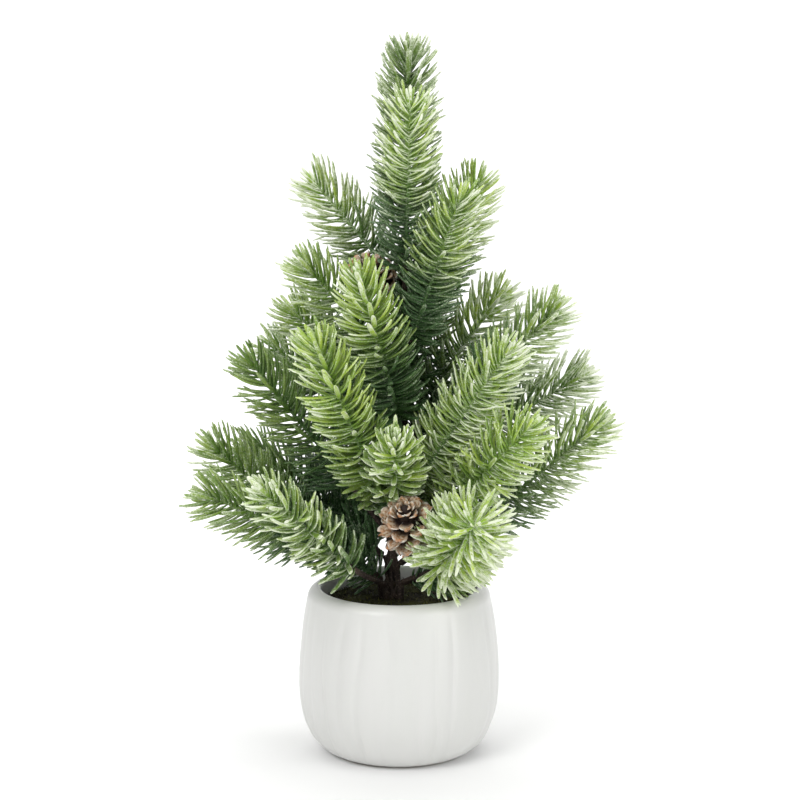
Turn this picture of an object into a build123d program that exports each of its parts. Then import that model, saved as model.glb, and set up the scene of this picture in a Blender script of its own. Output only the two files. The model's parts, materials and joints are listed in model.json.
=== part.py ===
"""Artificial tabletop tree: moulded needle sprays on taped wire branches, in a ceramic pot.

Frame: millimetres, +Z up, the origin at the centre of the pot's underside.
The front of the tree faces -Y and +X is to the right when it is seen from the front.
"""
import os
from collections import namedtuple
from math import pi, sin

from build123d import *

os.makedirs("parts", exist_ok=True)

# ---------------------------------------------------------------- driving dimensions
POT_HEIGHT = 95.8
POT_BELLY_RADIUS = 57.4
POT_BELLY_HEIGHT = 45.0
POT_SHOULDER_RADIUS = 54.1
POT_SHOULDER_HEIGHT = 81.0
POT_LIP_RADIUS = 52.2    # where the rounding of the thick lip begins
POT_LIP_HEIGHT = 89.6
POT_RIM_RADIUS = 46.4    # the highest circle of the lip
POT_MOUTH_RADIUS = 44.0
POT_THROAT_RADIUS = 45.6  # inside, at the height of the shoulder
POT_HEEL_RADIUS = 52.0
POT_HEEL_HEIGHT = 13.0
POT_FOOT_RADIUS = 34.0
POT_FOOT_RING_WIDTH = 4.0
POT_FOOT_RECESS = 1.5
POT_WALL = 5.0
POT_FLOOR = 6.0

GLUE_LINE = 0.3          # left all round the foam block
FOAM_TOP = 84.0
MOSS_THICKNESS = 5.5
MOSS_EDGE_THICKNESS = 3.0

CORE_WIRE_RADIUS = 1.1
TRUNK_RADIUS = 2.6
TRUNK_FOOT_RADIUS = 6.0  # the bundle where the lowest branches are taped on
TRUNK_FOOT_TOP = 104.0
TRUNK_BOTTOM = 26.0
TRUNK_TOP = 299.0
TRUNK_BEND = 60.0        # radius of the trunk's slight bends
TRUNK_LINE = [           # the trunk is not quite straight
    Vector(-3, 2, TRUNK_BOTTOM),
    Vector(-4, 3, 112),
    Vector(2, 4, 195),
    Vector(3, 5, TRUNK_TOP),
]

STEM_RADIUS = 1.5        # taped wire of a branch
KNUCKLE_RADIUS = 2.0     # wound ball of tape at a branch's root
SEAT_GAP = 0.4           # from a knuckle to the trunk
SOCKET_DEPTH = 9.0       # how far a stem runs into its spray
STEM_BEND = 6.0          # radius of the bend where a stem enters its spray

SPRAY_GIRTH = 21.0       # the dense part of a needle spray, not the loose needle ends

CONE_WIRE_RADIUS = 0.6
CONE_SOCKET = 5.0        # how far a cone's wire runs up its core
CONE_TIERS = 7

Spray = namedtuple("Spray", "name start tip girth", defaults=[SPRAY_GIRTH])
Branch = namedtuple("Branch", "name root_height sprays")

# Each branch leaves the trunk at root_height and carries one or more sprays.
# A spray runs from start, where its needles begin, to its tip.
BRANCHES = [
    Branch("top", None, [
        Spray("top_spray", (3, 5, 306), (5, 6, 399)),
    ]),
    Branch("leader", 262, [
        Spray("leader_spray", (4, -14, 292), (6, -30, 371)),
    ]),
    Branch("upper_left", 258, [
        Spray("upper_left_spray", (-14, 16, 284), (-49, 34, 323)),
    ]),
    Branch("upper_right", 232, [
        Spray("upper_right_spray", (12, -14, 254), (33, -34, 319)),
    ]),
    Branch("upper_right_rear", 246, [
        Spray("upper_right_rear_spray", (23, 10, 275), (45, 22, 324)),
    ]),
    Branch("left_high", 216, [
        Spray("left_high_spray", (-15, -2, 236), (-53, 0, 280)),
    ]),
    Branch("left_rear", 186, [
        Spray("left_high_rear_spray", (-28, 18, 216), (-61, 34, 250)),
        Spray("left_rear_spray", (-40, 30, 197), (-74, 52, 226)),
    ]),
    Branch("front_high", 190, [
        Spray("front_high_spray", (-3, -18, 208), (-22, -42, 281)),
    ]),
    Branch("front_left", 150, [
        Spray("front_left_spray", (-17, -30, 171), (-45, -48, 242)),
    ]),
    Branch("left_mid", 128, [
        Spray("left_mid_spray", (-29, -2, 157), (-83, -4, 225)),
    ]),
    Branch("left_low", 112, [
        Spray("left_low_spray", (-56, 4, 132), (-106, 6, 175)),
        Spray("left_low_rear_spray", (-37, 22, 135), (-89, 40, 167)),
    ]),
    Branch("left_bottom", 101, [
        Spray("left_bottom_spray", (-55, -18, 130), (-108, -22, 153)),
    ]),
    Branch("front_left_low", 97, [
        Spray("front_left_low_spray", (-30, -40, 119), (-74, -64, 165)),
    ]),
    Branch("front_centre", 124, [
        Spray("front_centre_spray", (-2, -34, 161), (-2, -66, 193)),
    ]),
    Branch("front_right_low", 98, [
        Spray("front_right_low_spray", (26, -36, 118), (43, -82, 152)),
        Spray("right_bottom_spray", (19, -15, 103), (37, -25, 101), 11),
    ]),
    Branch("right_low", 108, [
        Spray("right_low_spray", (57, -8, 144), (112, -14, 191)),
        Spray("front_right_spray", (39, -34, 160), (70, -60, 198)),
    ]),
    Branch("right_mid_rear", 158, [
        Spray("right_mid_rear_spray", (60, 14, 187), (105, 26, 213)),
    ]),
    Branch("right_high", 178, [
        Spray("right_high_spray", (51, -9, 218), (87, -14, 256)),
        Spray("right_high_rear_spray", (28, 18, 220), (58, 30, 259)),
    ]),
    Branch("front_right_high", 140, [
        Spray("front_right_high_spray", (20, -22, 175), (59, -46, 237)),
    ]),
    Branch("rear_high", 205, [
        Spray("rear_high_spray", (10, 20, 226), (16, 52, 288)),
        Spray("rear_left_spray", (-14, 34, 192), (-34, 76, 226)),
    ]),
    Branch("rear_low", 122, [
        Spray("rear_right_spray", (20, 30, 160), (52, 66, 196)),
        Spray("rear_low_left_spray", (-22, 32, 134), (-50, 78, 148)),
        Spray("rear_low_spray", (6, 34, 125), (10, 78, 140)),
    ]),
]

# A pine cone hangs on a wire twisted round the trunk or the stem of one branch at wire_height.
TRUNK = "trunk"
Cone = namedtuple("Cone", "name host wire_height base apex girth")
CONES = [
    Cone("lower_pine_cone", "front_centre", 130, (7, -26, 127), (3, -52, 153), 28),
    Cone("upper_pine_cone", TRUNK, 270, (-5, -2, 270), (-27, -12, 280), 21),
]


# ---------------------------------------------------------------- pot, foam and moss
def outside_outline():
    """Half outline of the pot's wall outside, from heel to shoulder."""
    points = [
        (POT_HEEL_RADIUS, POT_HEEL_HEIGHT),
        (POT_BELLY_RADIUS, POT_BELLY_HEIGHT),
        (POT_SHOULDER_RADIUS, POT_SHOULDER_HEIGHT),
    ]
    return Spline(points, tangents=[(0.52, 1), (-0.19, 1)])


def inside_outline(gap):
    """Half outline of the pot's wall inside, moved in by gap; it thickens towards the mouth."""
    inset = POT_WALL + gap
    points = [
        (POT_HEEL_RADIUS - inset, POT_HEEL_HEIGHT),
        (POT_BELLY_RADIUS - inset, POT_BELLY_HEIGHT),
        (POT_THROAT_RADIUS - gap, POT_SHOULDER_HEIGHT),
    ]
    return Spline(points, tangents=[(0.45, 1), (-0.3, 1)])


def make_pot():
    outer = outside_outline()
    inner = inside_outline(0)
    foot = (POT_FOOT_RADIUS, 0)
    base = ThreePointArc(foot, (POT_HEEL_RADIUS - 6.4, 4.4), outer @ 0)
    lip_start = (POT_LIP_RADIUS, POT_LIP_HEIGHT)
    rim = (POT_RIM_RADIUS, POT_HEIGHT)
    mouth = (POT_MOUTH_RADIUS, POT_HEIGHT - 2.4)
    neck = Line(outer @ 1, lip_start)
    lip = ThreePointArc(lip_start, (POT_LIP_RADIUS - 2.5, POT_HEIGHT - 1.6), rim)
    lip_inside = ThreePointArc(rim, (POT_MOUTH_RADIUS + 0.6, POT_HEIGHT - 0.8), mouth)
    throat = Line(mouth, inner @ 1)
    ring_inside = POT_FOOT_RADIUS - POT_FOOT_RING_WIDTH
    floor_edge = (POT_FOOT_RADIUS + 2, POT_FLOOR)
    inside_heel = ThreePointArc(inner @ 0, (POT_HEEL_RADIUS - POT_WALL - 3.6, 8.4), floor_edge)
    floor = Polyline(
        floor_edge,
        (0, POT_FLOOR),
        (0, POT_FOOT_RECESS),
        (ring_inside - 1, POT_FOOT_RECESS),
        (ring_inside, 0),
        foot,
    )
    outline = base + outer + neck + lip + lip_inside + throat + inner + inside_heel + floor
    section = make_face(Plane.XZ * outline)
    return revolve(section, Axis.Z)


def make_foam_block():
    side = inside_outline(GLUE_LINE)
    bottom = POT_FLOOR + GLUE_LINE
    outline = Polyline(
        side @ 1,
        (POT_MOUTH_RADIUS, FOAM_TOP),
        (0, FOAM_TOP),
        (0, bottom),
        (POT_FOOT_RADIUS, bottom),
        side @ 0,
    )
    block = revolve(make_face(Plane.XZ * (side + outline)), Axis.Z)
    return block - trunk_envelope()


def make_moss_cover():
    edge = POT_MOUTH_RADIUS
    crown = (0, FOAM_TOP + MOSS_THICKNESS)
    shoulder = (edge - 4, FOAM_TOP + MOSS_EDGE_THICKNESS + 1)
    outline = Polyline(
        crown,
        (0, FOAM_TOP),
        (edge, FOAM_TOP),
        (edge, FOAM_TOP + MOSS_EDGE_THICKNESS),
        shoulder,
    )
    dome = Spline([shoulder, crown], tangents=[(-1, 0.2), (-1, 0)])
    moss = revolve(make_face(Plane.XZ * (outline + dome)), Axis.Z)
    return moss - trunk_envelope()


# ---------------------------------------------------------------- trunk
def tube_along(points, radius, bend_radius):
    """Round bar of the given radius along straight runs joined by arcs."""
    path = FilletPolyline(*points, radius=bend_radius)
    start = Plane(origin=path @ 0, z_dir=path % 0)
    return sweep(start * Circle(radius), path=path)


def trunk_centre(height):
    """Where the trunk's middle is at a height."""
    for low, high in zip(TRUNK_LINE, TRUNK_LINE[1:]):
        if height <= high.Z:
            share = (height - low.Z) / (high.Z - low.Z)
            return low + (high - low) * share
    return TRUNK_LINE[-1]


def trunk_radius(height):
    return TRUNK_FOOT_RADIUS if height < TRUNK_FOOT_TOP else TRUNK_RADIUS


def trunk_envelope():
    """Solid trunk with its fat taped foot."""
    centre = trunk_centre(FOAM_TOP)
    foot_height = TRUNK_FOOT_TOP - TRUNK_BOTTOM
    foot = Pos(centre.X, centre.Y, TRUNK_BOTTOM) * Cylinder(
        TRUNK_FOOT_RADIUS, foot_height, align=(Align.CENTER, Align.CENTER, Align.MIN)
    )
    foot = chamfer(foot.edges().sort_by(Axis.Z)[-1], 3)
    return tube_along(TRUNK_LINE, TRUNK_RADIUS, TRUNK_BEND) + foot


def make_core_wire():
    return tube_along(TRUNK_LINE, CORE_WIRE_RADIUS, TRUNK_BEND)


# ---------------------------------------------------------------- branches
def direction(start, end):
    return (Vector(*end) - Vector(*start)).normalized()


def root_point(branch):
    """Middle of a branch's knuckle, just clear of the trunk."""
    if branch.root_height is None:
        return TRUNK_LINE[-1] + Vector(0, 0, SEAT_GAP + KNUCKLE_RADIUS)
    centre = trunk_centre(branch.root_height)
    aim = Vector(0, 0, 0)
    for spray in branch.sprays:
        aim += Vector(*spray.start) - centre
    outward = Vector(aim.X, aim.Y, 0).normalized()
    reach = trunk_radius(branch.root_height) + SEAT_GAP + KNUCKLE_RADIUS
    return centre + outward * reach


def make_stem(branch):
    """A knuckle and one taped wire to each spray; several wires make a fork."""
    root = root_point(branch)
    stem = Pos(*root) * Sphere(KNUCKLE_RADIUS)
    for spray in branch.sprays:
        start = Vector(*spray.start)
        end = start + direction(spray.start, spray.tip) * SOCKET_DEPTH
        stem += tube_along([root, start, end], STEM_RADIUS, STEM_BEND)
    return stem


def make_spray(spray, stem):
    """Bluff rounded body of a spray, with the socket that its stem fills."""
    length = (Vector(*spray.tip) - Vector(*spray.start)).length
    radius = spray.girth / 2
    widest = 0.3 * length
    taper = 0.72 * length
    outline = Polyline(
        (0, length),
        (0, 0),
        (0.35 * radius, 0),
        (0.8 * radius, 0.12 * length),
        (radius, widest),
        (0.92 * radius, taper),
    )
    nose = Bezier(
        (0.92 * radius, taper),
        (0.84 * radius, 0.9 * length),
        (0.4 * radius, length),
        (0, length),
    )
    body = revolve(make_face(Plane.XZ * (outline + nose)), Axis.Z)
    place = Plane(origin=spray.start, z_dir=direction(spray.start, spray.tip))
    return place.location * body - stem


# ---------------------------------------------------------------- pine cones
def line_at(start, end, height):
    """Point at a height on the straight line through start and end."""
    return start + (end - start) * ((height - start.Z) / (end.Z - start.Z))


def make_cone_wire(cone):
    """A ring twisted round the wire that carries the cone, and an end in the cone's core."""
    if cone.host == TRUNK:
        foot = trunk_centre(cone.wire_height - 1)
        head = trunk_centre(cone.wire_height + 1)
        host_radius = TRUNK_RADIUS
    else:
        branch = next(each for each in BRANCHES if each.name == cone.host)
        foot = root_point(branch)
        head = Vector(*branch.sprays[0].start)
        host_radius = STEM_RADIUS
    hold = line_at(foot, head, cone.wire_height)
    ring_place = Plane(origin=hold, z_dir=(head - foot).normalized())
    ring_radius = host_radius + CONE_WIRE_RADIUS + 0.1
    ring = ring_place.location * Torus(ring_radius, CONE_WIRE_RADIUS)
    base = Vector(*cone.base)
    end = base + direction(cone.base, cone.apex) * CONE_SOCKET
    toward_base = ring_place.to_local_coords(base)
    side = Vector(toward_base.X, toward_base.Y, 0).normalized() * ring_radius
    leaves = ring_place.from_local_coords(side)
    return ring + tube_along([leaves, base, end], CONE_WIRE_RADIUS, 1.5)


def make_pine_cone(cone, wire):
    """Egg-shaped stack of scale tiers."""
    length = (Vector(*cone.apex) - Vector(*cone.base)).length
    tier_height = length / CONE_TIERS
    points = [(0, 0)]
    for tier in range(CONE_TIERS):
        fullness = sin(pi * (tier + 0.9) / (CONE_TIERS + 0.9)) ** 0.7
        lip_radius = cone.girth / 2 * fullness
        bottom = tier * tier_height
        points.append((0.72 * lip_radius, bottom))
        points.append((lip_radius, bottom + 0.75 * tier_height))
    points.append((0, length))
    body = revolve(make_face(Plane.XZ * Polyline(*points, close=True)), Axis.Z)
    place = Plane(origin=cone.base, z_dir=direction(cone.base, cone.apex))
    return place.location * body - wire


# ---------------------------------------------------------------- assembly
def build_all():
    nodes = {
        "pot": make_pot(),
        "foam_block": make_foam_block(),
        "moss_cover": make_moss_cover(),
        "trunk_core_wire": make_core_wire(),
    }
    nodes["trunk_sleeve"] = trunk_envelope() - nodes["trunk_core_wire"]
    for branch in BRANCHES:
        stem = make_stem(branch)
        nodes[f"{branch.name}_stem"] = stem
        for spray in branch.sprays:
            nodes[spray.name] = make_spray(spray, stem)
    for cone in CONES:
        wire = make_cone_wire(cone)
        nodes[f"{cone.name}_wire"] = wire
        nodes[cone.name] = make_pine_cone(cone, wire)
    return nodes


for node_name, shape in build_all().items():
    export_step(shape, f"parts/{node_name}.step")
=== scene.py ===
"""Looks of the artificial tabletop tree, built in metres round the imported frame."""
import json
import math
import random

import bpy
import numpy as np
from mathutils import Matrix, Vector, noise
from mathutils.bvhtree import BVHTree


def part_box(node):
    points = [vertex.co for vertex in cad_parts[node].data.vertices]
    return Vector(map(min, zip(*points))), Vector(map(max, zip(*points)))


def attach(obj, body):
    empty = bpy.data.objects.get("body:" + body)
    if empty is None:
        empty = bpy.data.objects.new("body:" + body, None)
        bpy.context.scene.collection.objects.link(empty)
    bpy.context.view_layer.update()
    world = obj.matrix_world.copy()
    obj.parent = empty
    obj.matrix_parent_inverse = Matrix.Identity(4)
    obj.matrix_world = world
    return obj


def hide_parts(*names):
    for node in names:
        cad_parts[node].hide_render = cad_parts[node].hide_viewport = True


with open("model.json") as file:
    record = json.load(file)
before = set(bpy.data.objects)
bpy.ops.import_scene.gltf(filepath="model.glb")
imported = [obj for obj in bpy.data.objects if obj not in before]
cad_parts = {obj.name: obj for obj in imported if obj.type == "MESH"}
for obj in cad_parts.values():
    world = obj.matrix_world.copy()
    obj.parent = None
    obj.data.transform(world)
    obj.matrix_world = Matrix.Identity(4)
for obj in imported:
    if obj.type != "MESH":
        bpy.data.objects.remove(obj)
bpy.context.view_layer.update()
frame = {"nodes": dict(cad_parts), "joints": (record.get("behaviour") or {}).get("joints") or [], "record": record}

MM = 0.001
FRONT = np.array([0.0, -1.0, 0.0])
UP = np.array([0.0, 0.0, 1.0])

# ---------------------------------------------------------------- sizes
NEEDLE_LENGTH = 24.5 * MM
NEEDLE_WIDTH = 2.6 * MM
NEEDLE_THICKNESS = 1.2 * MM
WHORL_SPACING = 3.0 * MM
# Needle rows round a spray, in degrees from its face: two whorls by turns, so that the
# row down the middle of the face is sparse and the spray's own stem shows.
WHORLS = ((0, 62, 97, 140, -140, -97, -62), (42, 80, 118, 180, -118, -80, -42))
TIP_NEEDLES = 8
TIP_ZONE = 42 * MM              # where needles begin to lean towards the tip
SHORT_ZONE = 15 * MM            # where they begin to shorten
RACHIS_RADIUS = 1.3 * MM

STEM_RADIUS = 1.5 * MM
KNUCKLE_SWELL = 0.5 * MM        # the ball of tape at a branch's root
TAPE_PITCH = 3.2 * MM
TAPE_STEP = 0.16 * MM

TRUNK_WIRE_RADIUS = 1.7 * MM
STRAND_RADIUS = 1.0 * MM
LOW_STRAND_RADIUS = 2.0 * MM
LOW_STRAND_HEIGHT = 16 * MM     # over the moss; strands that leave below it splay from its foot
LOW_STRAND_SPREAD = 6.5 * MM
STRAND_SPREAD = (3.6 * MM, 5.5 * MM, 7.4 * MM)
SPREAD_DECAY = 13 * MM          # over this height the strands close up to the trunk

POT_SIDES = 288
FLUTES = 26
FLUTE_DEPTH = 1.1 * MM
HAMMER_DEPTH = 0.16 * MM
HEEL_FACET_DEPTH = 0.8 * MM
HEEL_HEIGHT = 12 * MM
LIP_HEIGHT = 6 * MM             # the rounded lip, measured down from its top
UNDERSIDE_RINGS = 24
FOOT_ZONE = 30 * MM             # nearer the middle than this, the glaze has no flutes

MOSS_LEAVES = 2600
MOSS_RINGS, MOSS_SIDES = 44, 150

CONE_SCALES = 46
CONE_GIRTH, CONE_LENGTH = 1.16, 1.06   # of the solid's: its scales' lips stand a little proud
GOLDEN_ANGLE = math.radians(137.5)
SCALE_THICKNESS = 1.9 * MM
# Along a scale: where, how wide and how thick, as shares of its length, width and thickness.
SCALE_STATIONS = ((0.0, 0.30, 0.5), (0.25, 0.52, 0.4), (0.5, 0.80, 0.4), (0.7, 0.98, 0.5),
                  (0.85, 1.0, 0.75), (0.95, 0.82, 0.75), (1.0, 0.5, 0.35))

# How yellow-green a spray is (fresh), how much white it carries (frost), how much painted
# shade darkens its inner end (shade), the share of its stem that needles cover (skirt), the
# length (size) and width (broad) of its needles, the gap between them (gap), the share of
# needles that stand straight out of its face (face), how unruly they are (loose), how widely
# its tip opens (spread), and how far short of the solid's tip it ends, in millimetres (trim).
DEFAULT_LOOK = dict(fresh=0.45, frost=0.55, shade=0.6, skirt=0.85, size=1.0, broad=1.0,
                    gap=0.9, face=0.5, loose=1.0, spread=0.0, trim=0.0)
SPRAY_LOOKS = {
    "top_spray": dict(fresh=0.15, frost=0.9, shade=0.5, skirt=0.2, size=0.93, gap=0.8, face=0.3,
                      trim=2.0),
    "leader_spray": dict(fresh=0.85, frost=1.1, shade=1.1, skirt=0.5, size=0.87, face=0.1),
    "upper_left_spray": dict(fresh=0.6, frost=1.5, shade=0.5, face=0.2),
    "upper_right_spray": dict(fresh=0.65, frost=0.8, shade=1.2, size=0.95, face=0.1),
    "upper_right_rear_spray": dict(fresh=0.8, frost=0.9, face=0.3),
    "left_high_spray": dict(fresh=0.5, frost=0.7, shade=0.5, face=0.3),
    "left_high_rear_spray": dict(fresh=0.45, frost=0.7, face=0.3),
    "left_rear_spray": dict(fresh=0.25, frost=1.1),
    "front_high_spray": dict(fresh=0.95, frost=0.7, shade=1.15, broad=1.15, face=0.9, trim=4.0),
    "front_left_spray": dict(fresh=1.0, frost=0.6, shade=0.3, broad=1.15, face=0.9, loose=1.3),
    "left_mid_spray": dict(fresh=0.2, frost=0.3, shade=1.0, skirt=0.1, broad=0.9, gap=0.9, face=0.2),
    "left_low_spray": dict(fresh=0.45, frost=0.7, face=0.3),
    "left_low_rear_spray": dict(fresh=0.2, frost=0.4, shade=1.0, face=0.3),
    "left_bottom_spray": dict(fresh=0.4, frost=0.55, skirt=1.0, face=0.3),
    "front_left_low_spray": dict(fresh=0.75, frost=1.1, shade=0.5, skirt=0.15, size=0.86,
                                 broad=1.45, gap=1.25, face=1.0, loose=1.8),
    "front_centre_spray": dict(fresh=1.0, frost=1.0, shade=0.4, skirt=0.5, size=0.9, broad=1.2,
                               gap=1.0, face=1.0, loose=1.5, spread=-0.5),
    "front_right_low_spray": dict(fresh=1.0, frost=1.5, shade=0.15, skirt=0.3, size=1.2,
                                  broad=0.85, gap=0.5, face=1.0, loose=1.6, spread=0.8, trim=4.0),
    "right_bottom_spray": dict(fresh=0.1, frost=0.5, shade=0.8, skirt=0.6, size=0.6),
    "right_low_spray": dict(fresh=0.55, frost=1.0, shade=0.7, gap=0.85, face=0.3),
    "front_right_spray": dict(fresh=1.0, frost=0.8, shade=0.2, broad=0.95, gap=0.85, face=0.2,
                              loose=1.5),
    "right_mid_rear_spray": dict(fresh=0.3, frost=1.6, shade=0.4, face=0.3),
    "right_high_spray": dict(fresh=0.5, frost=1.1, face=0.3),
    "right_high_rear_spray": dict(fresh=0.8, frost=1.5, shade=0.3, face=0.6),
    "front_right_high_spray": dict(fresh=1.0, frost=1.2, shade=0.2, broad=0.92, gap=0.82, face=0.2,
                                   loose=1.4),
}


def look_of(node):
    return dict(DEFAULT_LOOK, **SPRAY_LOOKS.get(node, {}))


# ---------------------------------------------------------------- small tools
def unit(v):
    v = np.asarray(v, float)
    return v / np.linalg.norm(v)


class Shape:
    """Collects vertices, faces and per-vertex values, and makes one mesh of them."""

    def __init__(self):
        self.points = []
        self.faces = []
        self.values = {}
        self.materials = []
        self.count = 0

    def add(self, points, faces, **values):
        points = np.asarray(points, float).reshape(-1, 3)
        self.faces += [tuple(i + self.count for i in f) for f in faces]
        self.materials += [0] * len(faces)
        self.points.append(points)
        for name, value in values.items():
            value = np.broadcast_to(np.asarray(value, float), (len(points),))
            self.values.setdefault(name, []).append(value)
        self.count += len(points)

    def make(self, name, materials):
        mesh = bpy.data.meshes.new(name)
        mesh.from_pydata(np.vstack(self.points).tolist(), [], self.faces)
        for value_name, parts in self.values.items():
            layer = mesh.attributes.new(value_name, "FLOAT", "POINT")
            layer.data.foreach_set("value", np.concatenate(parts).astype(np.float32))
        for material in materials:
            mesh.materials.append(material)
        mesh.polygons.foreach_set("material_index", self.materials)
        mesh.polygons.foreach_set("use_smooth", [True] * len(mesh.polygons))
        mesh.update()
        piece = bpy.data.objects.new(name, mesh)
        bpy.context.scene.collection.objects.link(piece)
        return piece


def ring_faces(rings, sides, closed=True):
    """Quads of a tube of rings, with its two end faces if it is closed."""
    faces = []
    for r in range(rings - 1):
        for s in range(sides):
            n = (s + 1) % sides
            faces.append((r * sides + s, r * sides + n, (r + 1) * sides + n, (r + 1) * sides + s))
    if closed:
        faces.append(tuple(reversed(range(sides))))
        faces.append(tuple(range((rings - 1) * sides, rings * sides)))
    return faces


def ring(centre, radius, u, v, sides):
    """Points of a circle round centre in the plane of u and v."""
    turns = [2 * math.pi * k / sides for k in range(sides)]
    return [centre + radius * (math.cos(a) * u + math.sin(a) * v) for a in turns]


def bezier(p0, p1, p2, p3, count):
    t = np.linspace(0, 1, count)[:, None]
    return (1 - t) ** 3 * p0 + 3 * (1 - t) ** 2 * t * p1 + 3 * (1 - t) * t ** 2 * p2 + t ** 3 * p3


class Path:
    """A smooth line that can be asked for its point and direction at a length along it."""

    def __init__(self, points):
        self.points = np.asarray(points, float)
        steps = np.linalg.norm(np.diff(self.points, axis=0), axis=1)
        self.at = np.concatenate([[0], np.cumsum(steps)])
        self.length = self.at[-1]

    def point(self, s):
        return np.array([np.interp(s, self.at, self.points[:, k]) for k in range(3)])

    def cut(self, amount):
        """The same line without its last stretch."""
        keep = self.at < self.length - amount
        return Path(np.vstack([self.points[keep], self.point(self.length - amount)]))

    def tangent(self, s):
        step = 0.5 * MM
        low, high = max(0, s - step), min(self.length, s + step)
        return unit(self.point(high) - self.point(low))


def across(tangent, towards):
    """Two directions square to tangent, the first as near as can be to towards."""
    first = towards - tangent * np.dot(towards, tangent)
    if np.linalg.norm(first) < 0.15:
        first = UP - tangent * tangent[2]
    first = unit(first)
    return first, np.cross(tangent, first)


# ---------------------------------------------------------------- materials
class Finish:
    """A node material, with short calls for the few kinds of node that are used here."""

    def __init__(self, name):
        self.material = bpy.data.materials.new(name)
        self.material.use_nodes = True
        self.nodes = self.material.node_tree.nodes
        self.links = self.material.node_tree.links
        self.shader = self.nodes["Principled BSDF"]

    def feed(self, socket, value):
        """Set a socket to a plain value, or link it to another node's output."""
        if isinstance(value, bpy.types.NodeSocket):
            self.links.new(value, socket)
        else:
            socket.default_value = (*value, 1) if isinstance(value, tuple) else value

    def surface(self, name, value):
        self.feed(self.shader.inputs[name], value)

    def value(self, name):
        """A per-vertex value of the mesh."""
        node = self.nodes.new("ShaderNodeAttribute")
        node.attribute_name = name
        return node.outputs["Fac"]

    def math(self, operation, a, b):
        node = self.nodes.new("ShaderNodeMath")
        node.operation = operation
        for socket, value in zip(node.inputs, (a, b)):
            self.feed(socket, value)
        return node.outputs[0]

    def ramp(self, factor, low, high):
        """0 at low and below, 1 at high and above, smooth between."""
        node = self.nodes.new("ShaderNodeMapRange")
        node.interpolation_type = "SMOOTHSTEP"
        node.inputs["From Min"].default_value = low
        node.inputs["From Max"].default_value = high
        self.feed(node.inputs["Value"], factor)
        return node.outputs["Result"]

    def roughness(self, factor, low, high):
        """Roughness that goes from low to high with factor."""
        node = self.nodes.new("ShaderNodeMapRange")
        node.inputs["To Min"].default_value = low
        node.inputs["To Max"].default_value = high
        self.feed(node.inputs["Value"], factor)
        self.surface("Roughness", node.outputs["Result"])

    def mix(self, factor, a, b):
        node = self.nodes.new("ShaderNodeMix")
        node.data_type = "RGBA"
        for name, value in (("Factor", factor), ("A", a), ("B", b)):
            self.feed(node.inputs[name], value)
        return node.outputs["Result"]

    def noise(self, scale, detail=3, stretch=(1, 1, 1)):
        place = self.nodes.new("ShaderNodeTexCoord")
        mapping = self.nodes.new("ShaderNodeMapping")
        mapping.inputs["Scale"].default_value = stretch
        self.links.new(place.outputs["Object"], mapping.inputs["Vector"])
        node = self.nodes.new("ShaderNodeTexNoise")
        node.inputs["Scale"].default_value = scale
        node.inputs["Detail"].default_value = detail
        self.links.new(mapping.outputs["Vector"], node.inputs["Vector"])
        return node.outputs["Fac"]

    def bump(self, height, distance, strength):
        node = self.nodes.new("ShaderNodeBump")
        node.inputs["Strength"].default_value = strength
        node.inputs["Distance"].default_value = distance
        self.links.new(height, node.inputs["Height"])
        self.surface("Normal", node.outputs["Normal"])


def needle_material():
    """Green plastic, darker at each needle's foot, yellower on fresh sprays, white on edges and ends, with painted
    shade mixed in by the depth value for needles inside the tree and at a spray's inner end.
    """
    plastic = Finish("frosted_needles")
    # painted shade: the dark green that the depth value mixes in
    painted_shade_green = (0.044, 0.118, 0.034)
    foot_cool, foot_fresh = (0.085, 0.17, 0.024), (0.24, 0.42, 0.035)
    cool, fresh = (0.21, 0.32, 0.065), (0.64, 0.80, 0.10)
    white = (0.82, 0.87, 0.70)
    along, side = plastic.value("along"), plastic.value("side")
    tone, hue = plastic.value("tone"), plastic.value("fresh")
    foot = plastic.mix(hue, foot_cool, foot_fresh)
    outer = plastic.mix(hue, cool, fresh)
    green = plastic.mix(plastic.ramp(along, 0.0, 0.6), foot, outer)
    green = plastic.mix(plastic.ramp(tone, 1.5, -0.4), green, foot)
    # painted shade: needles inside the tree and at a spray's inner end are darkened towards that green
    green = plastic.mix(plastic.value("depth"), green, painted_shade_green)
    grain = plastic.noise(1100, 2)
    patches = plastic.noise(260, 3)
    edge = plastic.math("MULTIPLY", plastic.ramp(side, 0.6, 1.05), 0.32)
    ends = plastic.math("MULTIPLY", plastic.ramp(along, 0.45, 1.05), 0.28)
    cover = plastic.math("ADD", edge, ends)
    cover = plastic.math("ADD", cover, plastic.math("SUBTRACT", patches, 0.38))
    cover = plastic.math("MULTIPLY", cover, plastic.value("frost"))
    speck = plastic.math("SUBTRACT", grain, 0.5)
    cover = plastic.math("ADD", cover, plastic.math("MULTIPLY", speck, 0.9))
    frost = plastic.ramp(cover, 0.0, 0.58)
    plastic.surface("Base Color", plastic.mix(frost, green, white))
    plastic.roughness(frost, 0.45, 0.85)
    plastic.bump(grain, 0.00015, 0.7)
    return plastic.material


def tape_material():
    """Brown crepe paper tape wound round a wire, its edges worn lighter."""
    tape = Finish("brown_crepe_tape")
    dark, light, worn = (0.018, 0.011, 0.008), (0.060, 0.038, 0.027), (0.17, 0.135, 0.11)
    wind = tape.value("wind")
    crepe = tape.noise(900, 4)
    blotch = tape.noise(120, 3)
    brown = tape.mix(tape.ramp(blotch, 0.3, 0.7), dark, light)
    fleck = tape.math("MULTIPLY", wind, tape.ramp(crepe, 0.45, 0.75))
    tape.surface("Base Color", tape.mix(fleck, brown, worn))
    tape.surface("Roughness", 0.82)
    tape.bump(crepe, 0.00025, 0.8)
    return tape.material


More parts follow.
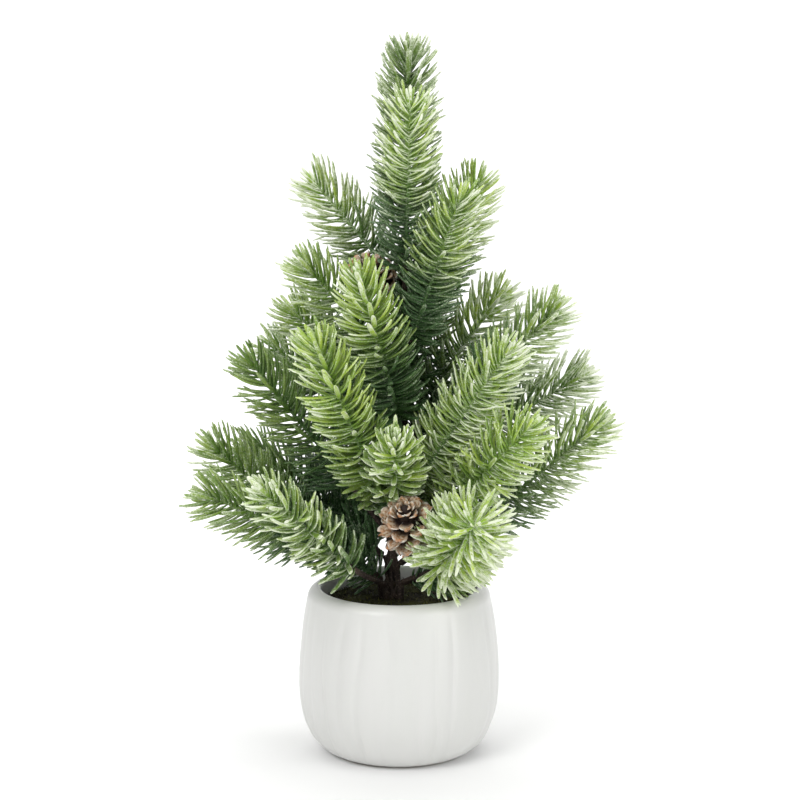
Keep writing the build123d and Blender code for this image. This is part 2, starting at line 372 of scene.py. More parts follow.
def glaze_material():
    """White glossy glaze with the faint unevenness of a fired pot."""
    glaze = Finish("white_glaze")
    white, shade = (0.68, 0.68, 0.662), (0.66, 0.664, 0.642)
    tint = glaze.noise(60, 4, (1, 1, 0.14))
    pool = glaze.noise(90, 2, (1, 1, 0.3))
    ripple = glaze.noise(170, 3, (1, 1, 0.25))
    glaze.surface("Base Color", glaze.mix(glaze.ramp(tint, 0.25, 0.75), white, shade))
    glaze.roughness(pool, 0.32, 0.42)
    glaze.surface("Coat Weight", 0.10)
    glaze.surface("Coat Roughness", 0.28)
    glaze.bump(ripple, 0.0001, 0.15)
    return glaze.material


def biscuit_material():
    """Bare fired clay of the foot ring."""
    clay = Finish("bare_clay")
    grain = clay.noise(700, 4)
    clay.surface("Base Color", clay.mix(grain, (0.62, 0.58, 0.50), (0.45, 0.41, 0.34)))
    clay.surface("Roughness", 0.9)
    clay.bump(grain, 0.0002, 0.6)
    return clay.material


def moss_material():
    """Dyed dried moss: brown and green clumps with paler strands."""
    moss = Finish("dried_moss")
    brown, green, pale = (0.016, 0.012, 0.005), (0.058, 0.060, 0.012), (0.17, 0.17, 0.03)
    clump = moss.mix(moss.ramp(moss.noise(110, 4), 0.35, 0.65), brown, green)
    moss.surface("Base Color", moss.mix(moss.ramp(moss.value("tone"), 0.66, 1.0), clump, pale))
    moss.surface("Roughness", 0.95)
    moss.bump(moss.noise(900, 4), 0.0006, 1.0)
    return moss.material


def cone_material():
    """Woody scales: beige inner faces, orange-brown lips, frosted edges, and painted shade near black at the
    scales' feet.
    """
    wood = Finish("pine_cone_scales")
    along, side = wood.value("along"), wood.value("side")
    grain = wood.noise(620, 4)
    blotch = wood.noise(170, 2)
    back = wood.mix(wood.ramp(blotch, 0.40, 0.58), (0.52, 0.34, 0.19), (0.34, 0.115, 0.03))
    front = wood.mix(wood.ramp(grain, 0.40, 0.62), (0.74, 0.61, 0.46), (0.42, 0.22, 0.10))
    scale = wood.mix(wood.value("inner"), back, front)
    lip = wood.ramp(wood.math("MAXIMUM", along, side), 0.86, 1.0)
    lip = wood.math("MULTIPLY", lip, wood.ramp(blotch, 0.35, 0.6))
    scale = wood.mix(lip, scale, (0.56, 0.20, 0.045))
    # painted shade: each scale darkens to near black towards its foot, in the gaps between the scales
    scale = wood.mix(wood.ramp(along, 0.8, 0.35), scale, (0.022, 0.010, 0.007))
    cover = wood.math("ADD", wood.ramp(along, 0.7, 1.05), side)
    cover = wood.math("MULTIPLY", cover, wood.math("MULTIPLY", grain, 1.5))
    frost = wood.ramp(cover, 0.55, 1.3)
    wood.surface("Base Color", wood.mix(frost, scale, (0.78, 0.73, 0.65)))
    wood.surface("Roughness", 0.75)
    wood.bump(grain, 0.0004, 0.8)
    return wood.material


def wire_material(name, base, roughness, metallic):
    """Drawn wire with darker streaks."""
    wire = Finish(name)
    grain = wire.noise(1400, 3)
    darker = tuple(0.6 * c for c in base)
    wire.surface("Base Color", wire.mix(grain, darker, base))
    wire.surface("Metallic", metallic)
    wire.surface("Roughness", roughness)
    wire.bump(grain, 0.0001, 0.5)
    return wire.material


def foam_material():
    """Green florist's foam with open cells."""
    foam = Finish("filling_foam")
    cells = foam.noise(1100, 4)
    foam.surface("Base Color", foam.mix(cells, (0.03, 0.06, 0.03), (0.07, 0.12, 0.06)))
    foam.surface("Roughness", 0.95)
    foam.bump(cells, 0.0006, 1.0)
    return foam.material


def floor_material():
    paper = Finish("pale_floor")
    paper.surface("Base Color", (0.93, 0.93, 0.93))
    paper.surface("Roughness", 0.9)
    return paper.material


NEEDLES = needle_material()
TAPE = tape_material()
GLAZE = glaze_material()
BISCUIT = biscuit_material()
MOSS = moss_material()
CONE = cone_material()
FLORIST_WIRE = wire_material("brown_florist_wire", (0.10, 0.055, 0.035), 0.5, 0.6)
STEEL = wire_material("plain_steel", (0.5, 0.5, 0.5), 0.35, 1.0)
FOAM = foam_material()


# ---------------------------------------------------------------- reading the frame
def mesh_points(node):
    return np.array([v.co for v in frame["nodes"][node].data.vertices], float)


def spray_axis(node, root):
    """Start and tip of a spray's solid: the middle of its flat end, and its far point."""
    points = mesh_points(node)
    tip = points[np.argmax(np.linalg.norm(points - root, axis=1))]
    axis = unit(tip - points.mean(0))
    for _ in range(3):
        depth = (tip - points) @ axis
        flat = points[depth > depth.max() - 0.15 * MM]
        start = (flat.min(0) + flat.max(0)) / 2
        axis = unit(tip - start)
        tip = points[np.argmax(points @ axis)]
    return start, tip


def trunk_line():
    """Path of the trunk's middle, read from the rings of its core wire."""
    points = mesh_points("trunk_core_wire")
    points = points[np.argsort(points[:, 2])]
    rings, current = [], [points[0]]
    for p in points[1:]:
        if p[2] - current[-1][2] > 0.8 * MM:
            rings.append(np.mean(current, axis=0))
            current = []
        current.append(p)
    rings.append(np.mean(current, axis=0))
    return np.array(rings)


TRUNK = trunk_line()
BODIES = frame["record"]["behaviour"]["bodies"]


def trunk_centre(height):
    """The trunk's middle at a height."""
    return np.array([np.interp(height, TRUNK[:, 2], TRUNK[:, 0]),
                     np.interp(height, TRUNK[:, 2], TRUNK[:, 1]), height])


# ---------------------------------------------------------------- needle sprays
# Along a needle, as shares of its length: its rings, and its girth at each. Across it: its
# six-sided section, as shares of half its width and half its thickness.
NEEDLE_RINGS = np.array([0.0, 0.1, 0.28, 0.48, 0.68, 0.84, 0.93, 0.98, 1.0])
NEEDLE_PROFILE = np.array([0.7, 0.84, 0.96, 1.0, 1.0, 0.92, 0.74, 0.42, 0.12])
NEEDLE_SECTION = [(1.0, 0.0), (0.52, 0.9), (-0.52, 0.9), (-1.0, 0.0), (-0.52, -0.9), (0.52, -0.9)]


def add_needle(shape, foot, tangent, outward, lean, curl, length, width, tone, look):
    """One flattened needle that leaves the stem at lean and bends forward by curl."""
    sideways = np.cross(tangent, outward)
    angles = lean - curl * NEEDLE_RINGS ** 0.9
    mid_angles = (angles[1:] + angles[:-1]) / 2
    steps = np.diff(NEEDLE_RINGS) * length
    run = np.outer(np.cos(mid_angles) * steps, tangent) + np.outer(np.sin(mid_angles) * steps, outward)
    centres = foot + np.vstack([np.zeros(3), np.cumsum(run, axis=0)])
    upward = -np.outer(np.sin(angles), tangent) + np.outer(np.cos(angles), outward)
    points, side = [], []
    for a, b in NEEDLE_SECTION:
        w = a * NEEDLE_PROFILE * width / 2
        h = b * NEEDLE_PROFILE ** 0.7 * NEEDLE_THICKNESS / 2
        points.append(centres + np.outer(w, sideways) + upward * h[:, None])
        side.append(np.full(len(NEEDLE_RINGS), abs(a)))
    points = np.stack(points, axis=1).reshape(-1, 3)
    side = np.stack(side, axis=1).reshape(-1)
    sides = len(NEEDLE_SECTION)
    shape.add(points, ring_faces(len(NEEDLE_RINGS), sides), along=np.repeat(NEEDLE_RINGS, sides),
              side=side, tone=tone, fresh=look["fresh"], frost=look["frost"], depth=look["depth"])


def add_rachis(shape, path, begin, size, look):
    """The spray's own moulded stem, which the needles grow from."""
    count, sides = 30, 8
    points = []
    for i, s in enumerate(np.linspace(begin, path.length - 1 * MM, count)):
        u, v = across(path.tangent(s), FRONT)
        share = i / (count - 1)
        radius = RACHIS_RADIUS * size * (1 - 0.58 * share) * (1 if i % 2 else 1.1)
        radius += 0.5 * MM * size * math.exp(-share / 0.06)
        points += ring(path.point(s), radius, u, v, sides)
    # painted shade along the stem: darkest at its foot and lighter towards the tip, with its frost thinned to
    # match
    depth = np.repeat(np.interp(np.linspace(0, 1, count), [0, 0.5, 1], [1.0, 0.85, 0.3]), sides)
    shape.add(points, ring_faces(count, sides), along=0.6, side=0.5, tone=0.5,
              fresh=look["fresh"], frost=0.9 * look["frost"] * (1.1 - depth), depth=depth)


def frost_and_painted_shade(look, foot, outward, inner_end_shade, rng):
    """A needle's look: frost, whitest where it faces out of the tree, and painted shade, darkest inside the tree
    and at a spray's inner end.
    """
    centre = trunk_centre(min(foot[2], TRUNK[-1, 2]))
    away = (foot - centre) * [1, 1, 0]
    open_air = unit(away + 0.012 * UP)
    exposure = 0.5 + 0.5 * float(np.dot(outward, open_air))
    # painted shade on needles that face into the tree, less on yellow-green sprays
    painted_shade_facing_in = 0.6 * (1 - exposure) ** 1.5 * (1 - 0.4 * look["fresh"])
    # painted shade: the depth value sums the inner-end shade and the facing-in shade, with a little at random
    depth = min(0.96, max(0.0, inner_end_shade + painted_shade_facing_in + rng.gauss(0, 0.08)))
    # frost, whiter where the needle faces out of the tree, thins where painted shade is
    frost = look["frost"] * (0.45 + 1.05 * exposure ** 1.5) * (1 - 0.75 * depth)
    frost *= rng.uniform(0.65, 1.35)
    fresh = min(1.0, look["fresh"] * rng.uniform(0.75, 1.25))
    return dict(look, frost=frost, fresh=fresh, depth=depth)


def add_whorl(shape, path, s, share, rows, look, rng):
    """One ring of needles at length s along the spray, share of the way up its dense part."""
    size, loose = look["size"], look["loose"]
    to_tip = path.length - s
    tangent = path.tangent(s)
    u, v = across(tangent, FRONT)
    near_tip = max(0.0, 1 - to_tip / TIP_ZONE)
    shorten = 0.36 * max(0.0, 1 - to_tip / SHORT_ZONE) + 0.35 * min(1.0, 1.5 * max(0.0, -share))
    # painted shade towards the spray's inner end, scaled by its shade value
    inner_end_shade = min(1.0, max(0.0, look["shade"] * (1.1 - 2.1 * share)))
    for row in rows:
        if row == 0 and rng.random() > look["face"]:
            continue
        turn = math.radians(row + rng.gauss(0, 6) * loose)
        outward = math.cos(turn) * u + math.sin(turn) * v
        lean = math.radians(78 - 36 * near_tip * (1 - look["spread"]) + rng.gauss(0, 6) * loose)
        curl = math.radians(32 - 8 * near_tip + 8 * (look["broad"] - 1) + rng.gauss(0, 7) * loose)
        length = NEEDLE_LENGTH * size * rng.uniform(0.9, 1.05) * (1 - shorten)
        foot = path.point(s) + tangent * rng.uniform(-1.2, 1.2) * MM
        width = NEEDLE_WIDTH * look["broad"] * (0.4 + 0.6 * size) * rng.uniform(0.85, 1.05)
        width *= 1 - 0.15 * near_tip
        add_needle(shape, foot, tangent, outward, lean, curl, length, width, rng.random(),
                   frost_and_painted_shade(look, foot, outward, inner_end_shade, rng))


def add_tip(shape, path, look, rng):
    """The needles that close the spray's end."""
    size = look["size"]
    tangent = path.tangent(path.length)
    u, v = across(tangent, FRONT)
    for k in range(TIP_NEEDLES):
        turn = 2 * math.pi * k * 0.382 + rng.gauss(0, 0.1)
        outward = math.cos(turn) * u + math.sin(turn) * v
        foot = path.point(path.length - rng.uniform(2.5, 6.5) * MM)
        lean = math.radians(8 + 34 * (k % 4) / 3 + 24 * look["spread"] + rng.gauss(0, 3))
        length = rng.uniform(12, 15.5) * size * MM
        width = 0.78 * NEEDLE_WIDTH * look["broad"]
        add_needle(shape, foot, tangent, outward, lean, 0.35 * lean, length, width, rng.random(),
                   frost_and_painted_shade(look, foot, unit(outward + tangent), 0, rng))


def make_spray(node, path, start_at, rng):
    """Needles in whorls along a spray's line, from its bare foot to its tip."""
    look = look_of(node)
    size = look["size"]
    begin = start_at * (1 - look["skirt"])
    path = path.cut(look["trim"] * MM)
    shape = Shape()
    add_rachis(shape, path, begin, size, look)
    s, whorl = begin, 0
    while s < path.length - 4 * MM:
        share = (s - start_at) / (path.length - start_at)
        add_whorl(shape, path, s, share, WHORLS[whorl % 2], look, rng)
        near_tip = max(0.0, 1 - (path.length - s) / TIP_ZONE)
        s += WHORL_SPACING * look["gap"] * (0.6 + 0.4 * size) * (1 + 0.35 * near_tip)
        whorl += 1
    add_tip(shape, path, look, rng)
    piece = shape.make(node + "_needles", [NEEDLES])
    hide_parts(node)
    return piece


# ---------------------------------------------------------------- taped wires
def add_taped_wire(shape, path, radius, sides=12, knuckle=0.0, end_radius=None):
    """A wire wound with tape: each turn of the tape makes a low step.

    With a knuckle, its start is rounded off and swells by that much.
    """
    rings = max(6, int(path.length / (TAPE_PITCH / 4)))
    points, wind = [], []
    for r in range(rings + 1):
        s = path.length * r / rings
        thick = radius
        if end_radius:
            thick += (end_radius - radius) * max(0.0, 1 - (path.length - s) / (6 * MM))
        tangent = path.tangent(s)
        u, v = across(tangent, FRONT)
        swell = knuckle * math.exp(-(s / (2.2 * MM)) ** 2)
        lump = 0.05 * noise.noise(Vector(path.point(s)) * 260)
        closing = math.sqrt(max(0.05, 1 - (1 - min(1.0, s / thick)) ** 2)) if knuckle else 1.0
        for k in range(sides):
            a = 2 * math.pi * k / sides
            phase = (s / TAPE_PITCH - k / sides) % 1.0
            step = TAPE_STEP * (1 - phase)
            here = (thick * (1 + lump) + step + swell) * closing
            points.append(path.point(s) + here * (math.cos(a) * u + math.sin(a) * v))
            wind.append(1.0 - phase)
    shape.add(points, ring_faces(rings + 1, sides), wind=wind)


def branch_paths(joint):
    """For each spray on a branch, the line of its stem and spray, and where the spray starts."""
    root = np.array(joint["pos_m"], float)
    sprays = [node for node in BODIES[joint["child"]] if node.endswith("_spray")]
    centre = trunk_centre(min(root[2], TRUNK[-1, 2]))
    outward = root - centre
    lines = {}
    for node in sprays:
        start, tip = spray_axis(node, root)
        axis = unit(tip - start)
        reach = np.linalg.norm(start - root)
        if np.linalg.norm(outward[:2]) > 1 * MM:
            first = unit(unit(start - root) + 0.25 * unit(outward) + 0.15 * UP)
        else:
            first = UP
        stem = bezier(root, root + first * 0.35 * reach, start - axis * 0.35 * reach, start, 24)
        length = np.linalg.norm(tip - start)
        spray = bezier(start, start + axis * length / 3, tip - axis * length / 3, tip, 24)
        lines[node] = (Path(np.vstack([stem, spray[1:]])), Path(stem).length)
    return lines


def make_branch(joint, rng):
    """A branch's stem, from its root into each of its sprays, and the sprays."""
    lines = branch_paths(joint)
    stem_shape = Shape()
    for node, (path, start_at) in lines.items():
        bare = start_at * (1 - look_of(node)["skirt"]) + 4 * MM
        stem_path = Path([path.point(s) for s in np.linspace(0, bare, 40)])
        add_taped_wire(stem_shape, stem_path, STEM_RADIUS, knuckle=KNUCKLE_SWELL)
    stem_node = joint["child"].replace("_branch", "_stem")
    stem = stem_shape.make(stem_node + "_taped", [TAPE])
    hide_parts(stem_node)
    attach(stem, joint["child"])
    for node, (path, start_at) in lines.items():
        piece = make_spray(node, path, start_at, rng)
        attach(piece, joint["child"])


# ---------------------------------------------------------------- trunk
def level(angle):
    """The level direction at an angle round the trunk."""
    return np.array([math.cos(angle), math.sin(angle), 0])


def strand_line(number, root, outward, foot, crown):
    """The line of one branch's wire, from the trunk's foot to the branch's root."""
    turn = number * 2.4
    spread = STRAND_SPREAD[number % 3]
    hugging = TRUNK_WIRE_RADIUS + 0.6 * STRAND_RADIUS
    if root[2] < crown + LOW_STRAND_HEIGHT:
        foot_point = trunk_centre(foot) + outward * LOW_STRAND_SPREAD
        hug = foot_point + 3 * MM * UP
    else:
        foot_point = trunk_centre(foot) + spread * level(turn)
        hug = trunk_centre(root[2] - 9 * MM) + outward * hugging
    line = [foot_point]
    rise = hug[2] - foot
    if rise > 12 * MM:
        steps = int(rise / (6 * MM))
        for i in range(1, steps):
            z = foot + rise * i / steps
            around = turn + (math.atan2(outward[1], outward[0]) - turn) * i / steps
            radius = hugging + (spread - hugging) * math.exp(-(z - foot) / SPREAD_DECAY)
            line.append(trunk_centre(z) + radius * level(around))
    stub_end = root - outward * 0.9 * MM
    return smooth_line(line + [hug, stub_end], 4)


def make_trunk():
    """The bundle of branch wires, taped together; each one leaves at its own height."""
    shape = Shape()
    moss_low, moss_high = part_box("moss_cover")
    foot = moss_low.z + 1 * MM
    crown = moss_high.z
    main = [trunk_centre(foot)] + [p for p in TRUNK if p[2] > foot]
    add_taped_wire(shape, Path(main), TRUNK_WIRE_RADIUS, sides=16)
    for number, joint in enumerate(frame["joints"]):
        root = np.array(joint["pos_m"], float)
        if root[2] > TRUNK[-1, 2]:
            continue
        outward = unit((root - trunk_centre(root[2])) * [1, 1, 0])
        line = Path(strand_line(number, root, outward, foot, crown))
        low = root[2] < crown + LOW_STRAND_HEIGHT
        radius = LOW_STRAND_RADIUS if low else STRAND_RADIUS
        add_taped_wire(shape, line, radius, sides=10, end_radius=STEM_RADIUS)
    piece = shape.make("trunk_bundle", [TAPE])
    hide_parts("trunk_sleeve")
    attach(piece, "potted_trunk")


def smooth_line(points, per_span):
    """Points of a Catmull-Rom curve through the given ones."""
    points = [np.asarray(p, float) for p in points]
    points = [2 * points[0] - points[1]] + points + [2 * points[-1] - points[-2]]
    out = []
    for a, b, c, d in zip(points, points[1:], points[2:], points[3:]):
        for t in np.linspace(0, 1, per_span, endpoint=False):
            out.append(0.5 * (2 * b + (c - a) * t + (2 * a - 5 * b + 4 * c - d) * t * t
                              + (3 * b - a - 3 * c + d) * t ** 3))
    out.append(points[-2])
    return out


# ---------------------------------------------------------------- pot
def tree_of(node):
    """A CAD solid's surface, for finding where a ray meets it."""
    mesh = frame["nodes"][node].data
    return BVHTree.FromPolygons([v.co for v in mesh.vertices], [p.vertices for p in mesh.polygons])


def pot_outline():
    """The pot's half outline as (radius, height), read from its solid, and its height.

    It runs along the underside, up the side, over the lip, down the inside and to the
    middle of the floor.
    """
    tree = tree_of("pot")
    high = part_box("pot")[1]
    top, far = high.z, 2 * high.x
    near = 0.5 * MM
    beside = 0.01 * MM          # rays start this far off the seam of the solid

    def ray(x, z, direction):
        return tree.ray_cast(Vector((x, beside, z)), Vector(direction))[0]

    def outer_radius(z):
        return ray(far, z, (-1, 0, 0)).x

    def inner_radius(z):
        return ray(beside, z, (1, 0, 0)).x

    foot = outer_radius(0.05 * MM)
    brow = top - LIP_HEIGHT
    mouth = inner_radius(top - 3 * MM)
    floor_edge = inner_radius(9 * MM) - 2 * MM
    heights = np.concatenate([np.linspace(0.1 * MM, 9 * MM, 12), np.linspace(11 * MM, brow, 60)])
    under = [(r, ray(r, -far, (0, 0, 1)).z)
             for r in np.linspace(near, foot - 0.2 * MM, UNDERSIDE_RINGS)]
    side = [(outer_radius(z), z) for z in heights]
    lip = [(r, ray(r, far, (0, 0, -1)).z)
           for r in np.linspace(outer_radius(brow) - 0.15 * MM, mouth + 0.25 * MM, 18)]
    inside = [(inner_radius(z), z) for z in np.linspace(top - 3.5 * MM, 11 * MM, 40)]
    floor = [(r, ray(r, top / 2, (0, 0, -1)).z) for r in np.linspace(floor_edge, near, 14)]
    return under + side + lip + inside + floor, top


def flute_depth(angle, z, top):
    """How far the glaze stands back at a place on the wall: soft upright hand-cut flutes."""
    here = Vector((math.cos(angle) * 1.6, math.sin(angle) * 1.6, z / top * 0.9))
    wander = 1.7 * noise.noise(here * 1.3) + 0.6 * noise.noise(here * 4)
    wave = abs(math.sin(0.5 * FLUTES * angle + wander))
    strength = 0.6 + 0.5 * noise.noise(here * 2.2 + Vector((7, 3, 1)))
    groove = FLUTE_DEPTH * (1 - wave) ** 1.5 * strength
    dent = Vector((math.cos(angle) * 5, math.sin(angle) * 5, z / top * 3.5))
    hammer = HAMMER_DEPTH * noise.noise(dent)
    fade = min(1.0, max(0.0, (top - 3 * MM - z) / (14 * MM)))
    heel = math.exp(-((z - HEEL_HEIGHT) / (9 * MM)) ** 2)
    facet = abs(math.sin(8.5 * angle + 1.2 * noise.noise(here * 0.9))) ** 1.5
    return (groove + hammer + 0.15 * MM) * fade + HEEL_FACET_DEPTH * heel * facet


def make_pot():
    """The glazed pot, turned from its outline, with its flutes and a bare foot ring."""
    outline, top = pot_outline()
    lip = max(range(len(outline)), key=lambda i: outline[i][1])
    points = []
    for i, (r, z) in enumerate(outline):
        fluted = i <= lip and z > 0.8 * MM and r > FOOT_ZONE
        for k in range(POT_SIDES):
            a = 2 * math.pi * k / POT_SIDES
            here = r
            if fluted:
                here -= flute_depth(a, z, top) * min(1.0, z / (6 * MM))
            points.append((here * math.cos(a), here * math.sin(a), z))
    shape = Shape()
    shape.add(points, ring_faces(len(outline), POT_SIDES, closed=False))
    glaze, biscuit = 0, 1
    for face in range(len(shape.faces)):
        i = face // POT_SIDES
        bare = i < UNDERSIDE_RINGS + 2 and outline[i][1] < 0.5 * MM
        shape.materials[face] = biscuit if bare else glaze
    bottom = shape.count
    floor = bottom + 1
    last = bottom - POT_SIDES
    fan = [(bottom, (k + 1) % POT_SIDES, k) for k in range(POT_SIDES)]
    fan += [(floor, last + k, last + (k + 1) % POT_SIDES) for k in range(POT_SIDES)]
    shape.add([(0, 0, outline[0][1]), (0, 0, outline[-1][1])], [])
    shape.faces += fan
    shape.materials += [glaze] * len(fan)
    piece = shape.make("glazed_pot", [GLAZE, BISCUIT])
    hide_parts("pot")
    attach(piece, "potted_trunk")


# ---------------------------------------------------------------- moss
def make_moss():
    """A lumpy bed of moss that fills the pot's mouth, with loose strands all over it."""
    low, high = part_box("moss_cover")
    radius = high.x - 0.2 * MM
    rng = random.Random(11)
    shape = Shape()

    def top_at(x, y):
        share = math.hypot(x, y) / radius
        dome = high.z - 1.2 * MM - 2.2 * MM * share ** 3
        lumps = 1.5 * MM * noise.noise(Vector((x, y, 0)) * 130)
        grit = 0.9 * MM * noise.noise(Vector((x, y, 3)) * 330)
        return dome + lumps + grit

    turns = [2 * math.pi * k / MOSS_SIDES for k in range(MOSS_SIDES)]
    points = [(0, 0, top_at(0, 0))]
    for i in range(1, MOSS_RINGS + 1):
        tuck = 2.0 * MM if i == MOSS_RINGS else 0
        for a in turns:
            r = radius * i / MOSS_RINGS
            x, y = r * math.cos(a), r * math.sin(a)
            points.append((x, y, top_at(x, y) - tuck))
    points += [(radius * math.cos(a), radius * math.sin(a), low.z) for a in turns]
    faces = [(0, 1 + k, 1 + (k + 1) % MOSS_SIDES) for k in range(MOSS_SIDES)]
    for base in range(1, MOSS_RINGS * MOSS_SIDES, MOSS_SIDES):
        for k in range(MOSS_SIDES):
            n = (k + 1) % MOSS_SIDES
            faces.append((base + k, base + MOSS_SIDES + k, base + MOSS_SIDES + n, base + n))
    faces.append(tuple(1 + MOSS_RINGS * MOSS_SIDES + k for k in reversed(range(MOSS_SIDES))))
    shape.add(points, faces, tone=0.3)
    for _ in range(MOSS_LEAVES):
        r, a = 0.985 * radius * math.sqrt(rng.random()), rng.uniform(0, 2 * math.pi)
        x, y = r * math.cos(a), r * math.sin(a)
        add_moss_leaf(shape, np.array([x, y, top_at(x, y) - 0.3 * MM]), rng)
    piece = shape.make("moss_bed", [MOSS])
    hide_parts("moss_cover")
    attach(piece, "potted_trunk")


def add_moss_leaf(shape, foot, rng):
    """A short curled strand of moss."""
    turn = rng.uniform(0, 2 * math.pi)
    out = np.array([math.cos(turn), math.sin(turn), 0])
    side = np.array([-math.sin(turn), math.cos(turn), 0])
    length, width = rng.uniform(1.6, 4.2) * MM, rng.uniform(0.35, 0.75) * MM
    lean = rng.uniform(0.3, 1.3)
    points = []
    here = foot
    for share, wide in ((0, 1.0), (0.4, 0.9), (0.75, 0.6), (1.0, 0.12)):
        half = width * wide / 2
        ridge = 0.3 * half * UP
        points += [here + side * half, here + ridge, here - side * half, here - ridge]
        here = here + (math.cos(lean + share) * UP + math.sin(lean + share) * out) * length * 0.33
    shape.add(points, ring_faces(4, 4), tone=rng.random())


# ---------------------------------------------------------------- pine cones
def cone_axis(node, wire_node):
    """A cone's base, axis, length and radius, read from its solid; the wire is at its base."""
    points = mesh_points(node)
    wire = mesh_points(wire_node)
    middle = points.mean(0)
    wire_end = wire[np.argmin(np.linalg.norm(wire - middle, axis=1))]
    centred = points - middle
    axis = np.linalg.svd(centred, full_matrices=False)[2][0]
    if np.dot(axis, wire_end - middle) > 0:
        axis = -axis
    along = centred @ axis
    radius = np.linalg.norm(centred - np.outer(along, axis), axis=1).max()
    return middle + axis * along.min(), axis, along.max() - along.min(), radius


def make_cone(node, wire_node):
    """Scales set in a spiral round a core, opening outwards, fullest a third of the way up."""
    base, axis, length, girth = cone_axis(node, wire_node)
    girth, length = CONE_GIRTH * girth, CONE_LENGTH * length
    u, v = across(axis, FRONT)
    shape = Shape()
    rng = random.Random(5)
    add_cone_core(shape, base, axis, u, v, length, girth)
    for i in range(CONE_SCALES):
        share = (i + 0.5) / CONE_SCALES
        turn = i * GOLDEN_ANGLE
        out = math.cos(turn) * u + math.sin(turn) * v
        body = math.sin(math.pi * min(1, 0.12 + 0.86 * share)) ** 0.7
        foot = base + axis * length * (0.02 + 0.84 * share) + out * girth * 0.14 * body
        lean = math.radians(118 - 64 * share ** 1.6 + rng.gauss(0, 7))
        reach = max(0.88 * girth * body, 0.26 * girth)
        width = girth * 0.56 * min(1.0, (1.10 - share) / 0.42) * rng.uniform(0.85, 1.05)
        add_scale(shape, foot, axis, out, lean, reach, width, rng)
    piece = shape.make(node + "_scales", [CONE])
    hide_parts(node)
    return piece


def add_cone_core(shape, base, axis, u, v, length, girth):
    rings, sides = 14, 14
    points = []
    for share in np.linspace(0, 1, rings):
        radius = girth * 0.30 * math.sin(math.pi * (0.08 + 0.88 * share)) ** 0.6
        points += ring(base + axis * length * 0.92 * share, radius, u, v, sides)
    # the core's along of 0.1 gives it the near-black painted shade of the scales' feet
    shape.add(points, ring_faces(rings, sides), along=0.1, side=0.0, inner=0.0)


def add_scale(shape, foot, axis, out, lean, length, width, rng):
    """A woody scale: a thin spoon that thickens to a rounded, slightly ragged lip."""
    steps = np.linspace(-1, 1, 9)
    ragged = [rng.uniform(-0.13, 0.09) * length for _ in steps]
    twist = rng.gauss(0, 0.16)
    sideways = math.cos(twist) * np.cross(axis, out) + math.sin(twist) * axis
    points, along, side, inner = [], [], [], []
    place, previous = foot, 0.0
    for s, wide, thick in SCALE_STATIONS:
        angle = lean - 0.85 * s ** 2 + 0.45 * s ** 5
        direction = math.cos(angle) * axis + math.sin(angle) * out
        face = -math.sin(angle) * axis + math.cos(angle) * out
        place = place + direction * length * (s - previous)
        previous = s
        half = SCALE_THICKNESS / 2 * thick
        for facing in (-1, 1):
            for i, c in list(enumerate(steps))[::-facing]:
                cup = 0.24 * width * wide * c ** 2
                centre = place + sideways * c * wide * width / 2 - face * cup
                centre = centre + direction * ragged[i] * s ** 3
                points.append(centre + facing * face * half * (1.1 - 0.65 * abs(c)))
                side.append(c ** 4)
                inner.append(1.0 if facing < 0 else 0.0)
        along += [s] * 2 * len(steps)
    shape.add(points, ring_faces(len(SCALE_STATIONS), 2 * len(steps)), along=along, side=side,
              inner=inner)


# ---------------------------------------------------------------- making everything
def paint(node, material):
    """Give a CAD node its material."""
    mesh = frame["nodes"][node].data
    mesh.materials.clear()
    mesh.materials.append(material)


for number, joint in enumerate(frame["joints"]):
    make_branch(joint, random.Random(100 + number))

make_trunk()
make_pot()
make_moss()

for body, members in BODIES.items():
    for node in members:
        if node.endswith("_pine_cone"):
            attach(make_cone(node, node + "_wire"), body)
            paint(node + "_wire", FLORIST_WIRE)

paint("trunk_core_wire", STEEL)
paint("foam_block", FOAM)


# ---------------------------------------------------------------- studio
CAMERA_PLACE, CAMERA_AIM = (0.0006, -1.3, 0.4247), (0.0006, 0, 0.2025)
CAMERA_LENS = 105.75
MIDDLE = (0, 0, 0.2)
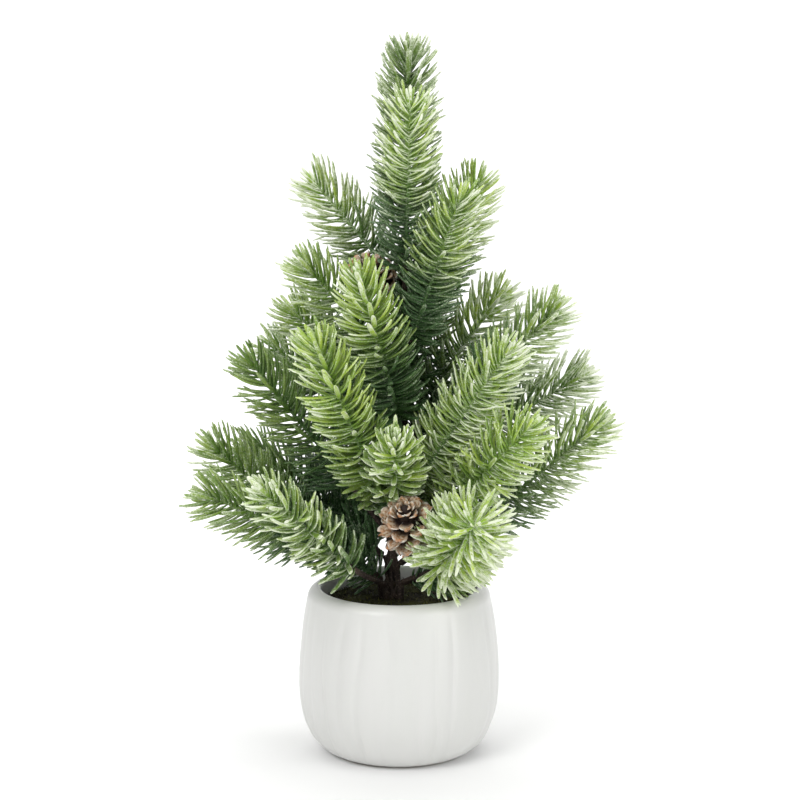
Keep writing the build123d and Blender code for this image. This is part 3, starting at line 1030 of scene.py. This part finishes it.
# Soft lights: name, place, what it is aimed at, size, power.
LIGHTS = (
    ("key", (-0.9, -1.3, 1.3), MIDDLE, (0.9, 0.9), 16),
    ("fill", (1.2, -1.1, 0.7), MIDDLE, (1.2, 1.2), 10.5),
    ("top", (0.0, 0.1, 1.7), MIDDLE, (1.4, 1.4), 14),
    ("back_wall", (0.0, 0.7, 1.6), (0, 2.4, 0.5), (2.5, 1.0), 30),
)
ROOM_LIGHT = 0.40


def make_backdrop():
    """A pale floor that curves up into a wall behind."""
    near, far, half, bend, tall = -2.4, 1.6, 3.5, 0.8, 3.5
    outline = [(near, 0.0)]
    for a in np.linspace(0, math.pi / 2, 16):
        outline.append((far + bend * math.sin(a), bend * (1 - math.cos(a))))
    outline.append((far + bend, tall))
    points = [(x, y, z) for y, z in outline for x in (-half, half)]
    faces = [(2 * i, 2 * i + 1, 2 * i + 3, 2 * i + 2) for i in range(len(outline) - 1)]
    shape = Shape()
    shape.add(points, faces)
    shape.make("studio_floor", [floor_material()])


def place_object(name, data, place, aim):
    """Add a light or camera that looks from place to aim."""
    thing = bpy.data.objects.new(name, data)
    thing.location = place
    thing.rotation_euler = (Vector(aim) - Vector(place)).to_track_quat("-Z", "Y").to_euler()
    bpy.context.scene.collection.objects.link(thing)
    return thing


def add_light(name, place, aim, size, power):
    data = bpy.data.lights.new(name, "AREA")
    data.shape = "RECTANGLE"
    data.size, data.size_y = size
    data.energy = power
    place_object(name, data, place, aim)


def add_camera():
    data = bpy.data.cameras.new("camera")
    data.lens = CAMERA_LENS
    bpy.context.scene.camera = place_object("camera", data, CAMERA_PLACE, CAMERA_AIM)


def light_room():
    """An even glow from all round."""
    world = bpy.data.worlds.new("soft_room")
    world.use_nodes = True
    background = world.node_tree.nodes["Background"]
    background.inputs["Color"].default_value = (1, 1, 1, 1)
    background.inputs["Strength"].default_value = ROOM_LIGHT
    bpy.context.scene.world = world


make_backdrop()
add_camera()
for light in LIGHTS:
    add_light(*light)
light_room()
bpy.context.scene.view_settings.view_transform = "Standard"
